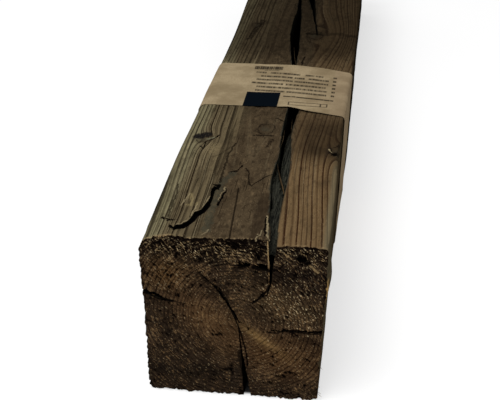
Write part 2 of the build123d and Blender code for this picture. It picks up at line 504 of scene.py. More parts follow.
def crack_section(spine, widths, count):
    """Outline of a crack: down its left wall to the tip and up the right one."""
    places = np.arange(len(spine))
    at = np.linspace(0, len(spine) - 1, count)
    line = between(at, places, spine)
    width = np.interp(at, places, widths)
    run = np.gradient(line, axis=0)
    run /= np.linalg.norm(run, axis=1)[:, None]
    side = np.stack((-run[:, 1], run[:, 0]), axis=1) * width[:, None] / 2
    return np.concatenate((line + side, (line - side)[::-1]))


def crack_cutter(name, alongs, spines, widths, count, rag, seed):
    """A cutter whose spine and widths are given at each place along; rag is how torn its walls are."""
    sections = np.array([crack_section(s, w, count) for s, w in zip(spines, widths)])
    rings, sides = sections.shape[:2]
    ring_at = np.repeat(np.asarray(alongs, float), sides)
    flat = sections.reshape(-1, 2)
    shift = grain_noise(flat[:, 0] * 0.3, ring_at, flat[:, 1], 5.0, 17.0, seed)
    shift += 0.5 * grain_noise(flat[:, 0] * 0.3, ring_at, flat[:, 1], 2.1, 7.0, seed + 1)
    flat[:, 0] += rag * shift
    cutter = tube(name, sides, rings)
    shape_tube(cutter, flat.reshape(rings, sides, 2), np.asarray(alongs, float))
    return cutter


# %% The two drying checks
# Each row: share of the length, middle as a share of the width, opening and depth as shares of the
# check's greatest
MAIN_CHECK_SHARES = np.array((
    (0.000, 0.210, 0.48, 0.84),
    (0.055, 0.182, 0.64, 0.86),
    (0.107, 0.169, 1.00, 0.95),
    (0.145, 0.168, 0.84, 1.00),
    (0.207, 0.140, 0.68, 0.95),
    (0.254, 0.148, 0.84, 0.95),
    (0.374, 0.073, 0.36, 0.90),
    (0.420, 0.050, 0.70, 0.90),
    (0.470, 0.020, 0.86, 0.86),
    (0.525, 0.004, 0.66, 0.75),
    (0.563, -0.006, 0.36, 0.60),
    (0.620, -0.030, 0.24, 0.45),
    (0.700, -0.060, 0.06, 0.12),
))
SECOND_CHECK_SHARES = np.array((
    (0.478, 0.196, 0.14, 0.10),
    (0.527, 0.152, 0.24, 0.45),
    (0.565, 0.125, 0.45, 0.70),
    (0.606, 0.084, 0.85, 0.90),
    (0.700, 0.060, 1.00, 1.00),
    (0.800, 0.064, 0.86, 0.95),
    (0.900, 0.046, 0.96, 1.00),
    (1.000, 0.052, 0.92, 0.95),
))
OVERRUN = 8.0
HAIRLINE = 1.6
CHECK_POINTS, CHECK_RAG, CRACK_POINTS, CRACK_RAG = 22, 0.55, 14, 0.35
KNEE_DEPTH_SHARE, KNEE_LEAN_SHARE, TIP_LEAN_SHARE = 0.84, 0.20, 0.82
CHECK_STEP, LEAST_OPEN, LEAST_DEEP, TIP_WIDTH = 6.0, 0.04, 0.03, 0.6


def check_cutter(name, table, opening, deepest_share, seed):
    """The cutter of a drying check, from the same shares as the solid's."""
    first, last = table[0, 0] * LENGTH, table[-1, 0] * LENGTH
    inside = np.arange(first, last + 1, CHECK_STEP)
    share = inside / LENGTH
    middle = WIDTH * follow(table, 1, share)
    open_share = np.clip(follow(table, 2, share), LEAST_OPEN, None)
    cover_share = np.clip(deepest_share * follow(table, 3, share), LEAST_DEEP, None)
    spines, widths = [], []
    for m, o, c in zip(middle, open_share, cover_share):
        reach = (HEIGHT - PITH[1]) * c
        lean = (PITH[0] - m) * c
        knee = reach * KNEE_DEPTH_SHARE
        spines.append((
            (m, HEIGHT + OVERRUN),
            (m + lean * KNEE_LEAN_SHARE, HEIGHT - knee),
            (m + lean * TIP_LEAN_SHARE, HEIGHT - reach),
        ))
        widths.append((opening * o * (knee + OVERRUN) / knee, HAIRLINE * o, TIP_WIDTH))
    alongs = list(inside)
    if first == 0:
        alongs, spines, widths = [-OVERRUN] + alongs, spines[:1] + spines, widths[:1] + widths
    if last == LENGTH:
        alongs.append(LENGTH + OVERRUN)
        spines, widths = spines + spines[-1:], widths + widths[-1:]
    return crack_cutter(name, alongs, spines, widths, CHECK_POINTS, CHECK_RAG, seed)


cutters = [
    check_cutter("main_check_cutter", MAIN_CHECK_SHARES, 12.2, 0.88, 11),
    check_cutter("second_check_cutter", SECOND_CHECK_SHARES, 8.0, 0.67, 21),
]


# %% The star of cracks in the near end
# How much of a crack's height and of its opening is gone where it runs out, and its least opening
END_TAPER, END_CLOSING, LEAST_CRACK = 0.94, 0.6, 0.12


def end_crack(name, mouth_spine, widths, reach, away, seed):
    """A crack that opens across the near end and runs out along the beam, drawn to a point away."""
    spine, away = np.array(mouth_spine, float), np.array(away, float)
    alongs = [-OVERRUN] + list(np.linspace(0, reach, 14))
    spines, opened = [], []
    for place in alongs:
        gone = max(place, 0) / reach
        spines.append(spine[0] + (spine - spine[0]) * (1 - END_TAPER * gone) + away * gone)
        opened.append(np.maximum(np.array(widths) * (1 - END_CLOSING * gone), LEAST_CRACK))
    return crack_cutter(name, alongs, spines, opened, CRACK_POINTS, CRACK_RAG, seed)


cutters += [
    end_crack(
        "heart_crack_cutter",
        ((PITH[0] + 5.6, -OVERRUN), (PITH[0] + 2.6, 22.0), (PITH[0] + 1.0, 40.0), (PITH[0] - 2.0, 70.0)),
        (6.4, 3.4, 1.3, 0.3), 210.0, (0.0, -2.0), 31,
    ),
    end_crack(
        "left_crack_cutter",
        ((-WIDTH / 2 - OVERRUN, 95.6), (-60.0, 90.2), (-WIDTH / 2 + 19.0, 86.0)),
        (3.4, 2.6, 1.0), 250.0, (-2.0, 0.0), 41,
    ),
    end_crack(
        "right_crack_cutter",
        ((WIDTH / 2 + OVERRUN, 66.4), (47.0, 65.6), (28.0, 64.2)),
        (2.2, 1.4, 0.7), 140.0, (2.0, 0.0), 51,
    ),
    end_crack(
        "upper_crack_cutter",
        ((-28.3, 115.5), (-12.8, 99.1), (-3.2, 83.6), (PITH[0] - 0.5, 70.0)),
        (0.5, 1.5, 1.6, 0.8), 90.0, (0.0, 0.0), 61,
    ),
]

# %% The ring shake and the void
# The shake's opening, its distance from the pith at its right end, and how much nearer to the pith
# it is at its left end
SHAKE_OPENING, SHAKE_RADIUS, SHAKE_DRIFT = 4.4, 53.4, 3.4
VOID = (50.6, 129.2)


def hollow(name, outline, reach):
    """A short hollow in the near end with one outline, which narrows inwards."""
    outline = np.array(outline, float)
    middle = outline.mean(axis=0)
    alongs = np.array([-OVERRUN, 0.0, reach * 0.3, reach * 0.7, reach])
    narrow = (1.0, 1.0, 0.85, 0.6, 0.25)
    sections = np.array([middle + (outline - middle) * n for n in narrow])
    cutter = tube(name, len(outline), len(alongs))
    shape_tube(cutter, sections, alongs)
    return cutter


def shake_outline(start, end, opening):
    """A slot that follows a ring between two angles, in degrees, and gapes most in its middle."""
    angles = np.radians(np.linspace(start, end, 12))
    radius = SHAKE_RADIUS - SHAKE_DRIFT * (angles - math.radians(63)) / math.radians(28)
    thick = opening / 2 * (0.6 + 0.4 * np.sin(np.linspace(0, math.pi, 12)))
    outer = np.stack((np.cos(angles), np.sin(angles)), axis=1)
    return np.concatenate((
        np.array(PITH) + outer * (radius + thick)[:, None],
        (np.array(PITH) + outer * (radius - thick)[:, None])[::-1],
    ))


void_angles = np.linspace(0, 2 * math.pi, 16, endpoint=False)
void_outline = np.stack((
    VOID[0] + (3.9 + 0.8 * np.sin(3 * void_angles)) * np.cos(void_angles),
    VOID[1] + (2.9 + 0.6 * np.cos(2 * void_angles)) * np.sin(void_angles),
), axis=1)
cutters += [
    hollow("shake_cutter", shake_outline(63, 77, SHAKE_OPENING), 75.0),
    hollow("shake_end_cutter", shake_outline(81, 91, SHAKE_OPENING), 60.0),
    hollow("void_cutter", void_outline, 26.0),
]

# %% Cut them all out
for cutter in cutters:
    set_attribute(cutter, "skin", 0.0)
    apply_modifier(timber, "BOOLEAN", object=cutter, operation="DIFFERENCE", solver="MANIFOLD")
    bpy.data.objects.remove(cutter)
print("after the cuts", len(timber.data.polygons), "faces")

# %% [markdown]
# ## Wear
# Weather eats the soft early wood and leaves the hard late wood standing, and the saw tore the near
# end into pits and tufts. Both only take wood away, so every point moves inwards. The faces sink
# along their own direction, and the near end sinks along the beam.

# %% Which way is in
# How far a face's wear reaches in at an arris, and how near to a sawn end a point counts as on it
FACE_REACH, ON_END = 11.0, 0.01
surface = points_of(timber)
x, along, z = surface.T
skin = read(timber.data.attributes["skin"].data, "value").ravel()
faces = timber_faces(along, z / HEIGHT)
left, right = faces[:2]
top = timber_top(x, along, faces)


def nearness(distance):
    """1 on a face, and 0 at its reach and beyond."""
    return np.clip(1 - np.abs(distance) / FACE_REACH, 0, 1)


to_left, to_right = nearness(x - left), nearness(right - x)
to_top, to_bottom = nearness(top - z), nearness(z - UNDERSIDE)
inward = np.stack((to_left - to_right, np.zeros(len(x)), to_bottom - to_top), axis=1)
closeness = np.maximum.reduce((to_left, to_right, to_top, to_bottom))
inward /= np.maximum(np.linalg.norm(inward, axis=1), 1e-6)[:, None]
near_end_points = along < ON_END
on_face = (skin > 0.5) | (closeness > 0.985)

# %% Worn faces
DEEPEST_WEAR, DEEPEST_TEAR = 4.0, 3.8


def face_depth(x, along, z):
    """How far a face has worn in, in millimetres, at a place on it."""
    count = ring_count(ring_radius(x, along, z))
    ring_wave = 0.5 - 0.5 * np.cos(2 * math.pi * count)
    fibres = grain_noise(x, along, z, 3.6, 45.0, 101)
    dents = grain_noise(x, along, z, 13.0, 60.0, 102)
    scars = ease(grain_noise(x, along, z, 7.0, 22.0, 103), 0.35, 0.8)
    ridges = 0.05 + 0.29 * fall(x, -48.0, -16.0)
    depth = 0.40 + 0.28 * fibres + 0.35 * dents + 0.9 * scars - ridges * ring_wave
    for knot_x, knot_along, knot_z, reach, reach_along, _ in KNOTS:
        a, b, c = (x - knot_x) / reach, (along - knot_along) / reach_along, (z - knot_z) / reach
        far = 5.0 * (a * a + c * c) + 9.0 * b * b
        depth = depth + 1.8 * np.exp(-far) - 1.0 * np.exp(-4.0 * far)
    return np.clip(depth, 0.02, DEEPEST_WEAR)


def line_distance(x, along, line):
    """Distance on the upper face from a line through several places."""
    nearest = np.full(len(x), 1e6)
    for start, end in zip(line[:-1], line[1:]):
        run_x, run_along = end - start
        dx, dy = x - start[0], along - start[1]
        share = np.clip((dx * run_x + dy * run_along) / (run_x**2 + run_along**2), 0, 1)
        nearest = np.minimum(nearest, np.hypot(dx - share * run_x, dy - share * run_along))
    return nearest


# Edge of a scale that has lifted off the upper face, as places across and along
SCALE_EDGE = np.array((
    (-47.0, 14.5), (-45.0, 17.0), (-41.0, 18.4), (-38.3, 24.0), (-36.0, 30.0), (-34.8, 38.6),
    (-30.6, 44.6), (-28.0, 56.4), (-27.6, 64.8), (-28.6, 79.0), (-27.4, 85.0), (-24.6, 84.0),
))
face_sink = face_depth(x, along, z)
face_sink = face_sink + 2.2 * np.exp(-(line_distance(x, along, SCALE_EDGE) / 2.4) ** 2) * (z > 130)
face_sink = face_sink + swelling(ARRIS_CHIP, x, along) * to_top
arris_chips = ease(grain_noise(x, along, z, 25.0, 19.0, 104), 0.25, 0.8) * to_right * to_top
face_sink = np.clip(face_sink + 3.2 * arris_chips, 0.02, DEEPEST_WEAR)
on_bottom = (to_bottom > 0.9) & (to_left < 0.5) & (to_right < 0.5)
face_sink = np.where(on_bottom, 0.25 * face_sink, face_sink)
ragged_rim = 0.2 + 0.9 * grain_noise(x, along, z, 2.3, 50.0, 116)
face_sink = face_sink + np.clip(ragged_rim, 0, None) * near_end_points

# %% The sawn near end
SAW_TILT = math.radians(42)
SAW_PITCH = 2.8


def saw_axes(x, z):
    """Place along the saw's strokes and across them."""
    flow = x * math.cos(SAW_TILT) - z * math.sin(SAW_TILT)
    cross = x * math.sin(SAW_TILT) + z * math.cos(SAW_TILT)
    return flow, cross


def ring_axes(x, z):
    """Three numbers for a noise that is drawn out along the rings and has no seam."""
    dx, dz = x - PITH[0], z - PITH[1]
    radius = root(dx * dx + dz * dz + 4.0)
    return dx / radius * 15.0, dz / radius * 15.0, radius / 1.3


def end_depth(x, z):
    """How far the near end is torn in, in millimetres."""
    flow, cross = saw_axes(x, z)
    still = x * 0
    count = ring_count(ring_radius(x, still, z))
    ring_wave = 0.5 - 0.5 * np.cos(2 * math.pi * count)
    broad = grain_noise(x, still, z, 14.0, 50.0, 114)
    coarse = grain_noise(x, still, z, 3.6, 50.0, 113)
    torn = lattice(np.stack((flow / 2.4, cross / 1.15, still), axis=1), 111)
    ring_torn = lattice(np.stack(ring_axes(x, z), axis=1), 112)
    saw_wave = np.sin(2 * math.pi * (cross / SAW_PITCH + 1.3 * broad))
    upper_band = ease(z, 124.0, 134.0)
    pits = ease(coarse + 0.5 * torn, 0.75 - 0.2 * upper_band, 1.15)
    depth = 1.5 + 0.52 * torn + 0.40 * ring_torn + 0.15 * saw_wave + 0.5 * coarse + 0.35 * broad
    depth = depth - 0.28 * ring_wave
    return np.clip(depth + 1.1 * pits + 0.35 * upper_band, 0.05, DEEPEST_TEAR)


end_sink = end_depth(x, z)
edge_wear = closeness**3 * (0.5 + 0.8 * grain_noise(x, along, z, 2.2, 50.0, 115))
end_sink = np.clip(end_sink + np.clip(edge_wear, 0, None), 0.05, DEEPEST_TEAR)

moved = surface + inward * (face_sink * closeness**2 * on_face)[:, None]
moved[:, 1] += end_sink * near_end_points
moved[:, 1] -= 0.6 * end_sink * (along > LENGTH - ON_END)
move_points(timber, *moved.T)
set_attribute(timber, "height", np.where(near_end_points, 1 - end_sink / 2.6, 0.5))
set_attribute(timber, "sawn", near_end_points)
# Painted shade on the ground under the scale: 1 just behind the scale's edge and 0 away from it
UNDER_SCALE = SCALE_EDGE[1:] + (-2.8, 3.2)
set_attribute(timber, "scale_shadow", fall(line_distance(x, along, UNDER_SCALE), 2.2, 5.5) * (z > 130))
smooth(timber, 38)
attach(timber, "root")
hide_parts("beam")

# %% [markdown]
# ## Finishes
# A finish is a tree of nodes. The class below takes a new material, or the world, and adds nodes to
# it by kind, settings and inputs. Sums are written with the wires from the start of the lesson.

# %% A finish and its nodes
class Finish:
    """The nodes of one material or world, and short ways to add to them."""

    def __init__(self, owner, shader="Principled BSDF"):
        owner.use_nodes = True
        self.owner, self.tree = owner, owner.node_tree
        self.shader = self.tree.nodes[shader]

    def plug(self, value, socket):
        if isinstance(value, Wire):
            self.tree.links.new(value.socket, socket)
        else:
            socket.default_value = value

    def node(self, kind, settings=None, inputs=None, output=0):
        """Adds a node of a kind: its settings first, then its inputs by name or number."""
        node = self.tree.nodes.new(kind)
        for name, value in (settings or {}).items():
            setattr(node, name, value)
        for key, value in (inputs or {}).items():
            self.plug(value, node.inputs[key])
        return Wire(self, node.outputs[output])

    def math(self, operation, *values):
        return self.node("ShaderNodeMath", {"operation": operation}, dict(enumerate(values)))

    def mix(self, share, first, second):
        """First colour where the share is 0, second where it is 1."""
        settings = {"data_type": "RGBA"}
        return self.node("ShaderNodeMix", settings, {0: share, 6: first, 7: second}, 2)

    def coat(self, colour, *coats):
        """Lays coats over a colour in turn: how much of each shows, and its colour."""
        for share, *seen in coats:
            colour = self.mix(share, colour, paint(*seen) if len(seen) == 3 else seen[0])
        return colour

    def position(self):
        """Place on the object in millimetres: across, distance along and up."""
        place = self.node("ShaderNodeTexCoord", output="Object")
        parts = self.tree.nodes.new("ShaderNodeSeparateXYZ")
        self.plug(place, parts.inputs[0])
        x, y, z = (Wire(self, output) * 1000.0 for output in parts.outputs)
        return x, y + LENGTH / 2, z

    def vector(self, operation, first, second):
        output = 1 if operation in ("DOT_PRODUCT", "DISTANCE") else 0
        settings = {"operation": operation}
        return self.node("ShaderNodeVectorMath", settings, {0: first, 1: second}, output)

    def spot(self, first, second):
        """A place on one face, from its two distances."""
        return self.node("ShaderNodeCombineXYZ", None, {0: first, 1: second})

    def noise(self, x, y, z, detail, roughness):
        """Noise from 0 to 1 at a place whose unit is one blob of the noise."""
        place = self.node("ShaderNodeCombineXYZ", None, {0: x, 1: y, 2: z})
        inputs = {"Vector": place, "Scale": 1.0, "Detail": detail, "Roughness": roughness}
        return self.node("ShaderNodeTexNoise", None, inputs)

    def attribute(self, name):
        return self.node("ShaderNodeAttribute", {"attribute_name": name}, output="Fac")

    def surface(self, colour, rough, height, depth):
        """Plugs colour, roughness and a fine relief, of this depth in metres, into the shader."""
        inputs = {"Strength": 1.0, "Distance": depth, "Height": height}
        bump = self.node("ShaderNodeBump", None, inputs)
        self.plug(colour, self.shader.inputs["Base Color"])
        self.plug(rough, self.shader.inputs["Roughness"])
        self.plug(bump, self.shader.inputs["Normal"])
        self.shader.inputs["Specular IOR Level"].default_value = 0.0


def paint(red, green, blue):
    """A colour as it is seen, 0 to 255, turned into the light values that Blender mixes."""
    seen = np.array((red, green, blue)) / 255
    light = np.where(seen < 0.04045, seen / 12.92, ((seen + 0.055) / 1.055) ** 2.4)
    return (*(float(value) for value in light), 1.0)


def dress(piece, finish):
    """Gives a piece one material and no other."""
    piece.data.materials.clear()
    piece.data.materials.append(finish.owner)


# %% [markdown]
# ## Old softwood
# The upper face has three characters side by side. The left side is paler and greyer, with fine
# light ridges. The middle is smooth brown. To the right of the check the wood is warmer, with dark
# bold lines. The end is dark, with painted shade in its pits, and pale tips of torn fibres.

# %% Noises that the finish shares
wood = Finish(bpy.data.materials.new("old_softwood"))
x, along, z = wood.position()
count = ring_count(ring_radius(x, along, z))
late = latewood(count)
season = count - whole(count)
skin = wood.attribute("skin")
height = wood.attribute("height")
fibre = wood.noise(x / 1.1, along / 22.0, z / 1.1, 3.0, 0.65)
blotch = wood.noise(x / 14.0, along / 40.0, z / 14.0, 3.0, 0.55)
cloud = wood.noise(x / 45.0, along / 110.0, z / 45.0, 2.0, 0.5)
speck = wood.noise(x / 1.6, along / 3.0, z / 1.6, 2.0, 0.6)
wander = wood.noise(x / 5.0, along / 7.0, 5.0, 2.0, 0.5)
threads = wood.noise(count * 3.6, along / 240.0, 4.0, 3.0, 0.7)
mottle = wood.noise(x / 4.0, along / 8.0, z / 4.0, 3.0, 0.6)
grain = wood.noise(x / 0.7, along / 2.0, z / 0.7, 2.0, 0.6)


# %% Lines drawn from place to place
def distance_from(place, line):
    """Distance from a line through several places, in millimetres."""
    nearest = None
    for start, end in zip(line[:-1], line[1:]):
        run = np.subtract(end, start)
        length = float(np.hypot(*run))
        way = (float(run[0]) / length, float(run[1]) / length, 0.0)
        gone = wood.vector("SUBTRACT", place, (*start, 0.0))
        ahead = wood.vector("DOT_PRODUCT", gone, way)
        held = wood.node("ShaderNodeClamp", None, {"Value": ahead, "Min": 0.0, "Max": length})
        foot = wood.node("ShaderNodeVectorMath", {"operation": "SCALE"}, {0: way, "Scale": held})
        away = wood.vector("DISTANCE", gone, foot)
        nearest = away if nearest is None else nearest.math("MINIMUM", away)
    return nearest


def mark(place, line, width):
    """A line with crisp uneven edges, 1 on it and 0 off it."""
    return fall(distance_from(place, line), 0.34 * width, 0.68 * width)


def all_over(first, *others):
    """The strongest of several marks."""
    for other in others:
        first = first.math("MAXIMUM", other)
    return first


def drawn(*rows):
    """Several marks as one; each row is a place, a line, its width and its strength."""
    return all_over(*(mark(place, line, width) * strength for place, line, width, strength in rows))


# A place on the upper face, bent a little and bent a lot, so that no line runs by ruler, and one
# that stays almost where it is
bent = wood.spot(x + (speck - 0.5) * 1.4 + (wander - 0.5) * 4.0, along + (speck - 0.5) * 2.0)
torn = wood.spot(x + (speck - 0.5) * 3.4 + (wander - 0.5) * 7.0, along + (speck - 0.5) * 6.0)
straight = wood.spot(x + (speck - 0.5) * 0.9, along)

# %% The faces
stray = (cloud - 0.5) * 30.0
beyond = ease(along, 350.0, 420.0)
pale = fall(x + stray * 0.25, -60.0, -50.0) * (1.0 - 0.4 * beyond)
silver = fall(x + stray * 0.5, -32.0, -18.0) * (1.0 - 0.5 * beyond)
warm = ease(x + stray * 0.4, 22.0, 32.0) * (1.0 - 0.5 * ease(along, 150.0, 260.0))
plain = (1.0 - silver) * (1.0 - warm)
upper = ease(z, 134.0, 138.0)

early = wood.coat(paint(66, 55, 40), (silver, 92, 81, 60), (pale, 110, 103, 78), (warm, 99, 80, 55))
dark = wood.coat(paint(40, 32, 23), (silver, 24, 19, 12), (warm, 42, 24, 13))
summer = ease(season, 0.0, 0.8) * (0.1 + 0.04 * warm + 0.12 * silver)
bold = late * (1.0 - 0.4 * warm + 0.4 * warm * late)
bold = bold * (0.28 + 0.9 * warm + 0.74 * silver - 0.15 * pale + 0.25 * beyond)
lined = ease(threads, 0.54, 0.62) * (0.18 + 0.6 * silver - 0.15 * pale + 0.12 * warm)
ridge = fall(threads, 0.34, 0.44) * (0.08 + 0.42 * silver + 0.18 * warm)
cracked = ease(wood.noise(x / 0.9, along / 55.0, z / 0.9, 1.0, 0.5), 0.68, 0.74)
edge = ease(x, 63.0, 67.5) * fall(along, 120.0, 170.0)
stain = within(along, 146.0, 236.0, 22.0) * ease(x, 22.0, 40.0) * upper
face = wood.coat(
    early,
    (summer, dark),
    (bold, dark),
    (lined, dark),
    (ridge, 150, 136, 106),
    (ease(mottle, 0.5, 0.66) * (0.25 + 0.35 * plain), 38, 30, 21),
    (fall(mottle, 0.32, 0.44) * 0.4 * plain, 98, 82, 60),
    (ease(fibre, 0.5, 0.7) * (0.3 - 0.14 * warm), 28, 22, 15),
    (ease(grain, 0.6, 0.74) * 0.35, 136, 118, 88),
    (fall(grain, 0.3, 0.42) * 0.38, 24, 19, 12),
    (ease(blotch, 0.48, 0.74) * 0.42, 32, 26, 18),
    (cracked * (0.8 - 0.4 * warm), 16, 12, 8),
    (edge * 0.5, 100, 94, 74),
    (stain * 0.68, 24, 18, 12),
)

# The knots: broken dark rims round a greyer heart. The first has a pale shoulder, a hollow in
# painted shade and a pale eye as well.
for knot_x, knot_along, knot_z, reach, reach_along, _ in KNOTS:
    away = root(spread((x, knot_x, reach), (along, knot_along, reach_along * 0.6), (z, knot_z, reach)))
    away = away + (speck - 0.5) * 0.3 + (wander - 0.5) * 0.7
    face = wood.coat(
        face,
        (fall(away, 0.55, 1.3) * 0.45, 38, 31, 22),
        (within(away, 0.62, 0.74, 0.07) * ease(speck, 0.40, 0.5) * 0.9, 12, 9, 7),
        (fall(away, 0.1, 0.5) * 0.5, 58, 54, 43),
    )
shoulder = bell(spread((x, -40.5, 6.5), (along, 158.0, 12.0))) * ease(speck, 0.3, 0.6)
# Painted shade in the first knot's hollow
knot_hollow_shade = mark(bent, ((-59.0, 184.5), (-50.5, 190.0)), 9.0) * ease(speck, 0.25, 0.45)
eye = mark(bent, ((-49.0, 181.0), (-43.5, 183.0)), 2.6)
face = wood.coat(
    face,
    (shoulder * upper * 0.6, 118, 104, 76),
    (knot_hollow_shade * upper * 0.95, 18, 17, 17),
    (eye * upper * 0.7, 98, 96, 76),
)

# %% Marks of this one timber
# The tip of a growth layer, a long seam, torn places, and dark streaks at the knots
marks = drawn(
    (bent, ((-6.8, 122.7), (-2.4, 111.3), (-0.7, 94.8), (1.7, 91.0), (10.5, 105.0),
        (18.5, 113.0)), 1.1, 0.8),
    (bent, ((-49.7, 175.6), (-44.6, 178.7), (-40.8, 184.1), (-39.9, 188.5)), 1.2, 1.0),
    (bent, ((-52.9, 164.3), (-48.9, 158.8), (-49.7, 175.6)), 1.1, 1.0),
    (bent, ((-23.0, 171.4), (-25.7, 148.6), (-25.4, 130.5), (-25.0, 108.7), (-24.3, 95.1)), 1.7, 0.75),
    (bent, ((-25.0, 166.0), (-32.0, 150.0), (-38.5, 143.0)), 1.1, 0.35),
    (bent, ((-57.9, 90.1), (-56.2, 70.5), (-55.3, 33.6)), 1.5, 0.7),
    (bent, ((-28.4, 79.4), (-26.9, 84.6), (-24.7, 82.8), (-23.7, 91.1)), 1.2, 1.0),
    (straight, ((-2.9, -2.0), (-7.8, 85.0)), 1.1, 0.75),
    (torn, ((30.0, 478.0), (50.0, 481.0), (69.0, 474.0)), 8.0, 0.45),
    (bent, ((16.0, 478.0), (30.0, 481.0)), 3.6, 0.9),
    (bent, ((17.7, 373.0), (19.5, 402.0)), 1.4, 0.9),
    (bent, ((20.0, 36.0), (22.6, 8.0)), 1.2, 1.0),
)
rough_marks = drawn(
    (torn, ((-59.1, 32.2), (-54.2, 28.3), (-48.5, 26.8)), 2.6, 1.0),
    (torn, ((-18.4, 115.4), (-14.6, 116.4), (-10.4, 127.8)), 2.2, 1.0),
    (torn, ((-19.9, 53.8), (-17.3, 84.0)), 1.4, 1.0),
    (torn, ((7.5, 231.0), (18.0, 222.0)), 2.2, 0.8),
    (torn, ((-8.0, 190.0), (8.0, 193.0)), 3.0, 0.8),
    (torn, ((6.0, 168.0), (9.0, 184.0)), 2.6, 0.6),
    (torn, ((-47.0, 452.0), (-39.0, 520.0)), 6.0, 0.7),
)
marks = all_over(marks, rough_marks * ease(speck + wander, 0.85, 1.0)) * upper
# Broad faint marks: a grey strip beside the scale, a pale patch on it, a dark band at the lip
grey_strip = mark(torn, ((-22.0, 14.0), (-24.5, 56.0), (-23.5, 92.0), (-16.0, 113.0)), 6.5)
pale_patch = drawn(
    (torn, ((-44.0, 72.0), (-39.5, 54.0)), 4.5, 1.0),
    (torn, ((-43.0, 54.0), (-37.5, 56.0)), 4.0, 1.0),
)
lip_band = drawn(
    (torn, ((15.0, 3.0), (15.5, 74.0)), 8.0, 0.6),
    (torn, ((24.0, 4.0), (19.0, 50.0)), 5.0, 0.5),
)
# Lit rims of torn wood
rims = drawn(
    (bent, ((59.0, 174.0), (64.9, 163.0), (71.0, 159.0)), 1.3, 1.0),
    (torn, ((-19.1, 86.0), (-21.0, 64.0)), 1.0, 0.5),
    (torn, ((-24.0, 8.0), (-20.6, 15.5)), 1.2, 0.5),
    (bent, ((20.4, 39.0), (25.2, 4.7)), 1.3, 0.8),
    (torn, ((18.8, 16.0), (17.4, 4.0)), 1.2, 0.6),
    (bent, SCALE_EDGE[1:9] + (-0.8, 1.2), 1.0, 0.6),
    (bent, ((-36.2, 54.4), (-37.8, 32.4)), 1.2, 0.8),
    (bent, ((-45.9, 74.5), (-48.5, 52.0)), 1.0, 0.6),
    (torn, ((-18.0, 85.6), (-19.5, 80.0)), 1.4, 0.7),
)
# Painted shadow in the gap under the lifted scale, in a second one beside it, and in the chip in the
# right arris
painted_gap_shadows = drawn(
    (straight, SCALE_EDGE[:5] + (0.6, -0.9), 2.8, 1.0),
    (straight, SCALE_EDGE[4:8] + (0.9, -0.9), 3.6, 1.0),
    (bent, ((-27.4, 55.5), (-27.2, 64.0), (-28.1, 79.0), (-26.0, 84.0), (-24.0, 82.0)), 1.3, 1.0),
    (bent, ((-19.9, 55.5), (-18.7, 63.0), (-17.7, 78.0)), 1.9, 1.0),
    (torn, ((64.5, 164.5), (71.0, 171.0)), 8.0, 1.0),
)
glint = within(z, 92.0, 110.0, 3.0) * fall(along, 5.0, 13.0) * ease(x, 60.0, 64.0)
# The far half and the wood between the checks lie in painted shade; the near rim is frayed, with a
# painted highlight
behind = ease(along, 360.0, 430.0)
slat = within(x, -3.0, 22.0, 2.0) * ease(along, 468.0, 500.0)
shade = 0.10 * ease(along, 190.0, 260.0) + 0.5 * behind + 0.14 * slat
shade = shade + 0.1 * behind * ease(x, 24.0, 34.0)
frayed_rim_and_highlight = ease(speck, 0.48, 0.62) * 0.5 + 0.35 * fall(x, -50.0, -42.0)
face = wood.coat(
    face,
    (grey_strip * ease(speck, 0.3, 0.5) * upper * 0.6, 48, 49, 40),
    (pale_patch * fall(fibre, 0.40, 0.62) * upper * 0.55, 128, 114, 80),
    (lip_band * upper, 36, 28, 20),
    (rims * upper * 0.75, 142, 128, 98),
    (marks, 12, 9, 6),
    # Painted shade on the side faces and wherever the surface dips below the upper face
    (fall(z, 136.0, 139.0) * 0.6, 40, 37, 28),
    # Painted shadow, nearly black, in the gaps and the chip
    (painted_gap_shadows * ease(z, 130.0, 133.0), 6, 5, 4),
    (glint * ease(speck, 0.38, 0.52) * 0.9, 184, 148, 92),
    (shade, 15, 12, 8),
    # The frayed near rim, pale partly as its own colour and partly as a painted highlight
    (fall(along, 2.5, 5.5) * upper * frayed_rim_and_highlight, 150, 128, 92),
)

# %% Walls of the checks: grey near the mouth, with painted shade, nearly black, further in and far along
wall = wood.coat(
    paint(48, 48, 41),
    (ease(fibre, 0.40, 0.62), 16, 17, 15),
    (ease(speck, 0.58, 0.72) * 0.4, 80, 76, 61),
    (fall(grain, 0.32, 0.46) * 0.6, 8, 8, 8),
    # Painted shade: the walls go nearly black deeper in and towards the far half
    (all_over(ease(z * -1.0, -135.5, -127.0), behind * 0.85), 6, 5, 4),
)
# Walls go where there is no skin, and painted shade, nearly black, goes under the lifted scale
face = wood.coat(face, (1.0 - skin, wall), (ease(wood.attribute("scale_shadow"), 0.12, 0.4), 6, 5, 4))

# %% Dark and pale zones of the sawn end
flow, cross = saw_axes(x, z)
patch = wood.noise(x / 15.0, z / 15.0, 7.0, 2.0, 0.5)
drift = wood.noise(x / 22.0, z / 22.0, 11.0, 2.0, 0.5)
flecks = wood.noise(flow / 2.6, cross / 0.75, 0.0, 2.0, 0.55)
tufts = wood.noise(*ring_axes(x, z), 2.0, 0.6)
grit = wood.noise(x / 0.9, z / 0.9, 3.0, 2.0, 0.65)
beads = wood.noise(flow / 2.2 + drift * 3.0, cross / 1.0, 8.0, 1.0, 0.5)


def glow(middle_x, middle_z, reach_x, reach_z, tilt=0.0):
    """A soft round zone of the end, 1 in its middle; tilt turns a long one, in degrees."""
    turn = math.radians(tilt)
    a = ((x - middle_x) * math.cos(turn) + (z - middle_z) * math.sin(turn)) / reach_x
    b = ((z - middle_z) * math.cos(turn) - (x - middle_x) * math.sin(turn)) / reach_z
    return bell(a * a + b * b)


